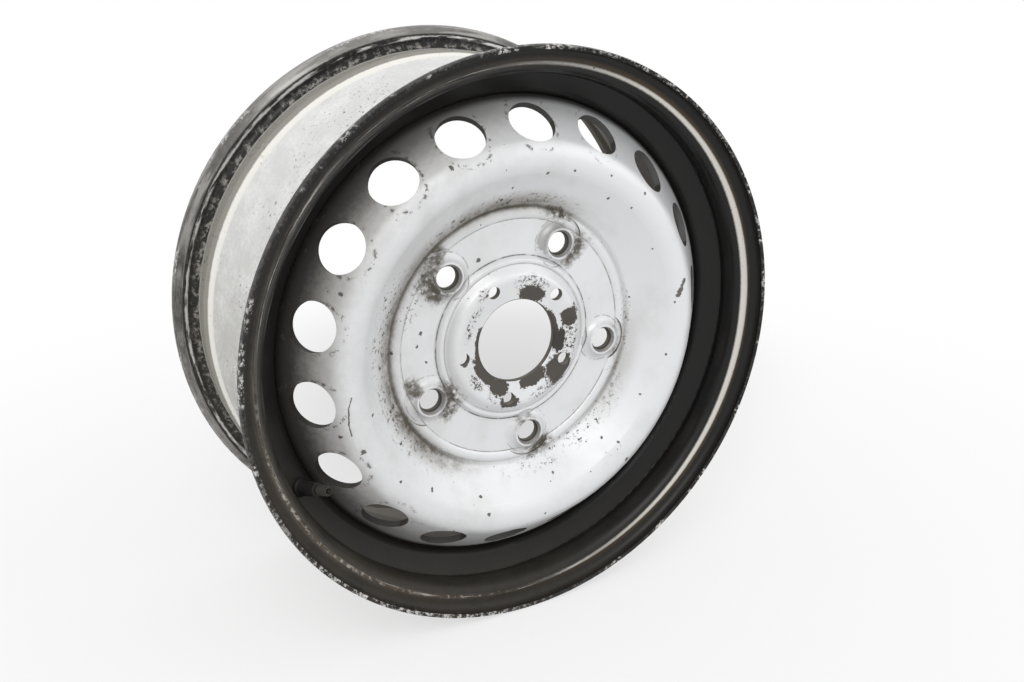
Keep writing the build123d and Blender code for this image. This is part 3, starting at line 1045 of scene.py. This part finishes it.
    def chip_lips(self, finish: Finish, away: Field) -> None:
        """Bare bright steel where the black is chipped along the two lips."""
        weave = finish.weave
        low_left = finish.sector(self.chipped_left)
        reach = finish.ragged * 4.0 + low_left * 1.4
        crest = weave.step(finish.radius + reach, *self.chipped_crest_radii)
        tip = weave.step(away + reach, *self.chipped_tip_from_middle)
        edge = weave.most(crest * 0.9, tip)
        bunched = weave.most(finish.grains(self.lip_crowd), low_left, finish.sector(self.chipped_right))
        finish.cover(BARE_STEEL_AND_GLINT, edge * finish.grains(self.lip_flecks) * (0.06 + bunched * 0.94))


@dataclass
class Valve:
    """The snap-in valve: a rubber body, a threaded brass stem and the core inside it."""

    thread_middle: float = 24.5
    rubber_profile: tuple[tuple[float, float], ...] = (
        (3.2, -16.9), (5.1, -16.9), (6.5, -6.9), (8.0, -5.2), (8.0, -2.95), (5.6, -2.9), (5.65, 0.15),
        (6.95, 0.2), (6.95, 2.2), (5.6, 3.4), (5.1, 16.0), (5.0, 18.4), (4.5, 19.0), (3.2, 19.0),
    )
    stem_profile: tuple[tuple[float, float], ...] = (
        (1.5, -16.9), (3.2, -16.9), (3.2, 19.4), (3.45, 19.6), (3.45, 29.5), (3.2, 30.0), (2.65, 30.0),
        (2.65, 14.0), (1.5, 13.8),
    )
    thread_from: float = 20.0
    thread_to: float = 29.3
    thread_depth: float = 0.38
    thread_pitch: float = 0.8
    thread_fade: float = 0.6
    thread_root: float = 3.3
    rubber_specular: float = 0.25
    frame_axis: Vector = field(init=False)
    frame_origin: Vector = field(init=False)

    def __post_init__(self) -> None:
        """Takes the valve's axis and its zero, on the inner face of the well's wall, from the frame."""
        thread = mount("valve_thread")
        self.frame_axis = Vector(thread["axis"]).normalized()
        self.frame_origin = Vector(thread["pos_m"]) - self.frame_axis * self.thread_middle * MM

    def rounded(self, profile: Sequence[tuple[float, float]], rounds: int) -> np.ndarray:
        """Profile whose corners are cut off again and again, at a quarter of each side."""
        points = np.array(profile)
        for _ in range(rounds):
            first = points[:-1] * 0.75 + points[1:] * 0.25
            second = points[:-1] * 0.25 + points[1:] * 0.75
            middle = np.stack([first, second], axis=1).reshape(-1, 2)
            points = np.concatenate([points[:1], middle, points[-1:]])
        return points

    def turned(self, name: str, profile: np.ndarray, ripple: bool, segments: int) -> bpy.types.Object:
        """Closed surface made by turning a profile of radius and height about the valve's axis.

        Args:
            name: Name of the piece.
            profile: Closed profile, radius and height in mm.
            ripple: Whether the thread's ripple is laid on the outside.
            segments: Steps around the axis.

        Returns:
            The new object.
        """
        turn = np.linspace(0.0, FULL_TURN, segments, endpoint=False)
        radius = np.repeat(profile[:, :1], segments, axis=1)
        height = np.repeat(profile[:, 1:], segments, axis=1)
        if ripple:
            radius = radius + self.thread_ripple(radius, height, turn[None, :])
        side = self.frame_axis.orthogonal().normalized()
        across = self.frame_axis.cross(side)
        points = (
            np.array(self.frame_origin)
            + MM * height[..., None] * np.array(self.frame_axis)
            + MM * (radius * np.cos(turn))[..., None] * np.array(side)
            + MM * (radius * np.sin(turn))[..., None] * np.array(across)
        )
        return grid_piece(name, points, closed_rows=True, closed_columns=True)

    def thread_ripple(self, radius: np.ndarray, height: np.ndarray, turn: np.ndarray) -> np.ndarray:
        """Thread on the outside: a triangle wave of height over pitch less the share of a turn."""
        phase = (height / self.thread_pitch - turn / FULL_TURN) % 1.0
        wave = 1.0 - 2.0 * np.abs(phase - 0.5)
        inside = np.minimum(height - self.thread_from, self.thread_to - height)
        fade = np.clip(inside / self.thread_fade, 0.0, 1.0)
        return np.where(radius > self.thread_root, wave * fade * self.thread_depth, 0.0)

    def dense(self, profile: Sequence[tuple[float, float]], spacing: float) -> np.ndarray:
        """Profile with points added at an even spacing along its sides."""
        points = np.array(profile)
        lengths = np.hypot(*np.diff(points, axis=0).T)
        travel = np.concatenate([[0.0], np.cumsum(lengths)])
        stops = np.union1d(travel, np.arange(0.0, travel[-1], spacing))
        return np.stack([np.interp(stops, travel, points[:, axis]) for axis in (0, 1)], axis=1)

    def build(self) -> None:
        """Makes and dresses the rubber body, the threaded stem and the core."""
        segments = 72
        outline = self.rounded(self.rubber_profile, rounds=2)
        rubber = self.turned("valve_rubber_body", outline, ripple=False, segments=segments)
        settle(rubber, "valve_rubber", self.rubber_finish())
        spacing = 0.13
        outline = self.dense(self.stem_profile, spacing)
        stem = self.turned("valve_threaded_stem", outline, ripple=True, segments=segments)
        settle(stem, "valve_stem", self.metal_finish("stem brass", STEM_BRASS))
        dress("core_body", self.metal_finish("core brass", CORE_BRASS))
        dress("core_pin", self.metal_finish("core steel", CORE_STEEL))
        dress("core_spring", self.metal_finish("spring steel", SPRING_STEEL))
        dress("core_gasket", self.soft_finish("core gasket", GASKET_RED))
        dress("core_seal", self.soft_finish("core seal", SEAL_BLACK))

    def rubber_finish(self) -> bpy.types.Material:
        """Dusty black rubber."""
        finish = Finish("valve rubber", RUBBER)
        finish.shader.inputs["Specular IOR Level"].default_value = self.rubber_specular
        finish.cover(DUSTY_BLACK, finish.grime(0.5) * 0.3)
        return finish.done(finish.weave.noise(finish.position, size=0.7), depth=0.05)

    def metal_finish(self, name: str, coat: Coat) -> bpy.types.Material:
        """Dull turned metal with dirt in its hollows."""
        finish = Finish(name, coat)
        finish.cover(DIRT, finish.grime(0.80) * 0.85)
        finish.cover(SOOT_AND_SHADE, finish.grime(0.62) * 0.9)
        return finish.done(finish.weave.noise(finish.position, size=0.35, detail=2.0), depth=0.01)

    def soft_finish(self, name: str, coat: Coat) -> bpy.types.Material:
        """Plain soft ring with a little dust."""
        finish = Finish(name, coat)
        finish.cover(DUSTY_BLACK, finish.grime(0.4) * 0.4)
        return finish.done(finish.weave.noise(finish.position, size=0.4, detail=2.0), depth=0.01)


@dataclass
class Welds:
    """Eight rippled fillet runs between the disc's flange and the well."""

    count: int = 8
    arc: float = 24.0
    phase: float = 9.0
    seat_radius: float = 182.55
    flange_end: float = -37.9
    leg: float = 4.4
    ripple_length: float = 3.2
    ripple_height: float = 0.28
    section: tuple[Span, ...] = (
        (0.0, 0.0), (1.0, 0.0), (0.86, 0.34), (0.62, 0.62), (0.34, 0.86), (0.0, 1.0),
    )

    def build(self) -> None:
        """Makes the runs as one piece and dresses it."""
        pieces = [self.run(index) for index in range(self.count)]
        runs = joined_piece("weld_runs", pieces)
        finish = Finish("weld", GREY_STEEL_AND_SHADE)
        finish.cover(DUSTY_BLACK, finish.grime(0.8) * 0.9)
        finish.cover(BROWN_FILM_AND_SHADE, finish.grime(0.55) * 0.8)
        grain = finish.weave.noise(finish.position, size=0.8)
        settle(runs, "weld_beads", finish.done(grain, depth=0.08))

    def run(self, index: int) -> np.ndarray:
        """One run as a grid: steps along the seam by steps around its section.

        The section is a rounded triangle in the corner. Its swell is lowered at each scale of the
        run, by the ripple height times the square of the share of a ripple, and shrinks at the ends.
        """
        steps = 150
        along = np.linspace(0.0, 1.0, steps)
        start = math.radians(self.phase + index * 360.0 / self.count)
        angle = start + along * math.radians(self.arc)
        swell = (1.0 - (2.0 * along - 1.0) ** 8) ** 0.5
        share = (along * math.radians(self.arc) * self.seat_radius / self.ripple_length) % 1.0
        reach = self.leg * (0.25 + 0.75 * swell) - self.ripple_height * share**2
        section = np.array(self.section)
        radius = self.seat_radius - reach[:, None] * section[None, :, 0]
        depth = self.flange_end - reach[:, None] * section[None, :, 1]
        cos, sin = np.cos(angle)[:, None], np.sin(angle)[:, None]
        return MM * np.stack([radius * cos, -depth, radius * sin], axis=-1)


def grid_faces(rows: int, columns: int, closed_rows: bool, closed_columns: bool) -> np.ndarray:
    """Quads of a grid of points.

    Args:
        rows: Number of rows of points.
        columns: Number of columns of points.
        closed_rows: Whether the last row joins the first.
        closed_columns: Whether the last column joins the first.

    Returns:
        Four point numbers for each quad.
    """
    row = np.arange(rows if closed_rows else rows - 1)[:, None]
    column = np.arange(columns if closed_columns else columns - 1)[None, :]
    next_row, next_column = (row + 1) % rows, (column + 1) % columns
    corners = [(row, column), (row, next_column), (next_row, next_column), (next_row, column)]
    return np.stack([(r * columns + c) for r, c in corners], axis=-1).reshape(-1, 4)


def mesh_piece(name: str, points: np.ndarray, faces: list[Sequence[int]]) -> bpy.types.Object:
    """A smooth mesh object at the origin with its normals turned outwards."""
    mesh = bpy.data.meshes.new(name)
    mesh.from_pydata(points.reshape(-1, 3).tolist(), [], faces)
    mesh.validate()
    mesh.update()
    piece = bpy.data.objects.new(name, mesh)
    bpy.context.scene.collection.objects.link(piece)
    turn_outwards(mesh)
    mesh.shade_smooth()
    return piece


def turn_outwards(mesh: bpy.types.Mesh) -> None:
    """Turns the faces of a closed mesh outwards."""
    work = bmesh.new()
    work.from_mesh(mesh)
    bmesh.ops.recalc_face_normals(work, faces=work.faces)
    work.to_mesh(mesh)
    work.free()


def grid_piece(name: str, points: np.ndarray, closed_rows: bool, closed_columns: bool) -> bpy.types.Object:
    """A smooth mesh object from a grid of points."""
    faces = grid_faces(points.shape[0], points.shape[1], closed_rows, closed_columns)
    return mesh_piece(name, points, faces.tolist())


def joined_piece(name: str, grids: Sequence[np.ndarray]) -> bpy.types.Object:
    """Several tube-like grids, closed around their section and capped at both ends, as one object."""
    faces: list[Sequence[int]] = []
    first = 0
    for grid in grids:
        rows, columns = grid.shape[:2]
        faces += (grid_faces(rows, columns, False, True) + first).tolist()
        faces.append((first + np.arange(columns)).tolist())
        faces.append((first + (rows - 1) * columns + np.arange(columns)[::-1]).tolist())
        first += rows * columns
    return mesh_piece(name, np.concatenate([grid.reshape(-1, 3) for grid in grids]), faces)


def settle(piece: bpy.types.Object, node: str, material: bpy.types.Material) -> None:
    """Lets a new piece stand for a CAD node, with the wheel's body and its material."""
    piece.data.materials.append(material)
    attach(piece, WHEEL_BODY)
    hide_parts(node)
    log.info("built %s for %s, %d faces", piece.name, node, len(piece.data.polygons))


@dataclass(frozen=True)
class Lamp:
    """A square lamp: its name, place and size in metres, and power in watts."""

    name: str
    place: Place
    size: float
    power: float


@dataclass(frozen=True)
class Dimming:
    """Floor glow that rises from a dark share to the whole between two distances in metres."""

    dark: float
    reach: Span

    def light(self, weave: Weave, distance: Field) -> Field:
        """Share of the glow at a distance."""
        return self.dark + weave.step(distance, *self.reach) * (1.0 - self.dark)


@dataclass
class Studio:
    """White surroundings, soft light and the camera."""

    azimuth: float = -29.17
    elevation: float = 20.48
    distance: float = 0.8219
    aim: Place = (0.0, -0.00555, 0.0)
    focal_pixels: float = 1077.6
    image_width: float = 1024.0
    shift_pixels: tuple[float, float] = (-1.57, -2.54)
    floor_size: float = 12.0
    shade: tuple[float, float] = (0.24, 0.44)
    # Painted shadow pools: the floor's glow is dimmed behind the wheel, where the bore looks through, and
    # about the wheel.
    behind: Dimming = Dimming(0.10, (0.10, 0.42))
    near: Dimming = Dimming(0.62, (0.25, 0.95))
    floor_tone: Colour = (0.76, 0.76, 0.76)
    floor_roughness: float = 0.8
    ambient: float = 0.83
    sensor_width: float = 36.0
    lamps: tuple[Lamp, ...] = (
        Lamp("key", (-0.9, -1.5, 1.9), 1.4, 26.0),
        Lamp("fill", (1.6, -1.2, 1.0), 1.6, 7.0),
    )

    def build(self) -> None:
        """Sets up the floor, the world, the lamps and the camera."""
        self.lay_floor()
        self.light_world()
        for lamp in self.lamps:
            self.hang(lamp)
        self.set_camera()
        bpy.context.scene.view_settings.view_transform = "Standard"

    def lay_floor(self) -> None:
        """Pale floor at the wheel's lowest point, nearly white to the eye but keeping its shadow, its glow
        dimmed in a painted shadow pool behind the wheel and a wider one about it, where the floor's lit
        shading shows.
        """
        half = self.floor_size / 2
        low = cad_box[0][2]
        mesh = bpy.data.meshes.new("floor")
        corners = [(-half, -half, low), (half, -half, low), (half, half, low), (-half, half, low)]
        mesh.from_pydata(corners, [], [(0, 1, 2, 3)])
        floor = bpy.data.objects.new("floor", mesh)
        bpy.context.scene.collection.objects.link(floor)
        material = bpy.data.materials.new("floor")
        material.use_nodes = True
        weave = Weave(material.node_tree)
        nodes = material.node_tree.nodes
        shader = nodes["Principled BSDF"]
        shader.inputs["Base Color"].default_value = (*self.floor_tone, 1.0)
        shader.inputs["Roughness"].default_value = self.floor_roughness
        glow = weave.node("ShaderNodeEmission")
        blend = weave.node("ShaderNodeMixShader")
        seen = self.seen_directly(weave)
        coordinates = weave.node("ShaderNodeTexCoord")
        place = Field(weave, coordinates.outputs["Object"])
        from_shade = weave.measure("LENGTH", weave.vector("SUBTRACT", place, (*self.shade, low)))
        # Painted shadow: glow dimmed in pools behind and about the wheel.
        lit_behind = self.behind.light(weave, from_shade)
        lit_near = self.near.light(weave, weave.measure("LENGTH", place))
        weave.feed(blend.inputs[0], seen * lit_behind * lit_near)
        weave.tree.links.new(shader.outputs[0], blend.inputs[1])
        weave.tree.links.new(glow.outputs[0], blend.inputs[2])
        weave.tree.links.new(blend.outputs[0], nodes["Material Output"].inputs["Surface"])
        mesh.materials.append(material)

    def seen_directly(self, weave: Weave) -> Field:
        """Share of rays from the eye, a reflection or a view through glass."""
        path = weave.node("ShaderNodeLightPath")
        names = ("Is Camera Ray", "Is Glossy Ray", "Is Transmission Ray")
        return weave.most(*(Field(weave, path.outputs[name]) for name in names))

    def light_world(self) -> None:
        """World that looks white and lights the wheel evenly."""
        world = bpy.data.worlds.new("studio")
        world.use_nodes = True
        bpy.context.scene.world = world
        weave = Weave(world.node_tree)
        background = world.node_tree.nodes["Background"]
        background.inputs["Color"].default_value = (1.0, 1.0, 1.0, 1.0)
        strength = weave.blend(self.seen_directly(weave), self.ambient, 1.0)
        weave.feed(background.inputs["Strength"], strength)

    def hang(self, lamp: Lamp) -> None:
        """Makes a soft square lamp that faces the wheel."""
        light = bpy.data.lights.new(lamp.name, "AREA")
        light.size = lamp.size
        light.energy = lamp.power
        holder = bpy.data.objects.new(lamp.name, light)
        holder.location = lamp.place
        holder.rotation_euler = (-Vector(lamp.place)).to_track_quat("-Z", "Y").to_euler()
        bpy.context.scene.collection.objects.link(holder)

    def set_camera(self) -> None:
        """Camera at the photograph's place, with its focal length and framing."""
        turn, lift = math.radians(self.azimuth), math.radians(self.elevation)
        back = Vector((math.sin(turn) * math.cos(lift), -math.cos(turn) * math.cos(lift), math.sin(lift)))
        lens = bpy.data.cameras.new("camera")
        lens.sensor_width = self.sensor_width
        lens.lens = lens.sensor_width * self.focal_pixels / self.image_width
        lens.shift_x, lens.shift_y = (pixels / self.image_width for pixels in self.shift_pixels)
        camera = bpy.data.objects.new("camera", lens)
        camera.location = back * self.distance + Vector(self.aim)
        camera.rotation_euler = (-back).to_track_quat("-Z", "Y").to_euler()
        bpy.context.scene.collection.objects.link(camera)
        bpy.context.scene.camera = camera


def main() -> None:
    """Builds and dresses the wheel, then the studio."""
    logging.basicConfig(level=logging.INFO, format="%(message)s")
    Disc().dress()
    Rim().dress()
    Welds().build()
    Valve().build()
    Studio().build()


if __name__ == "__main__":
    main()
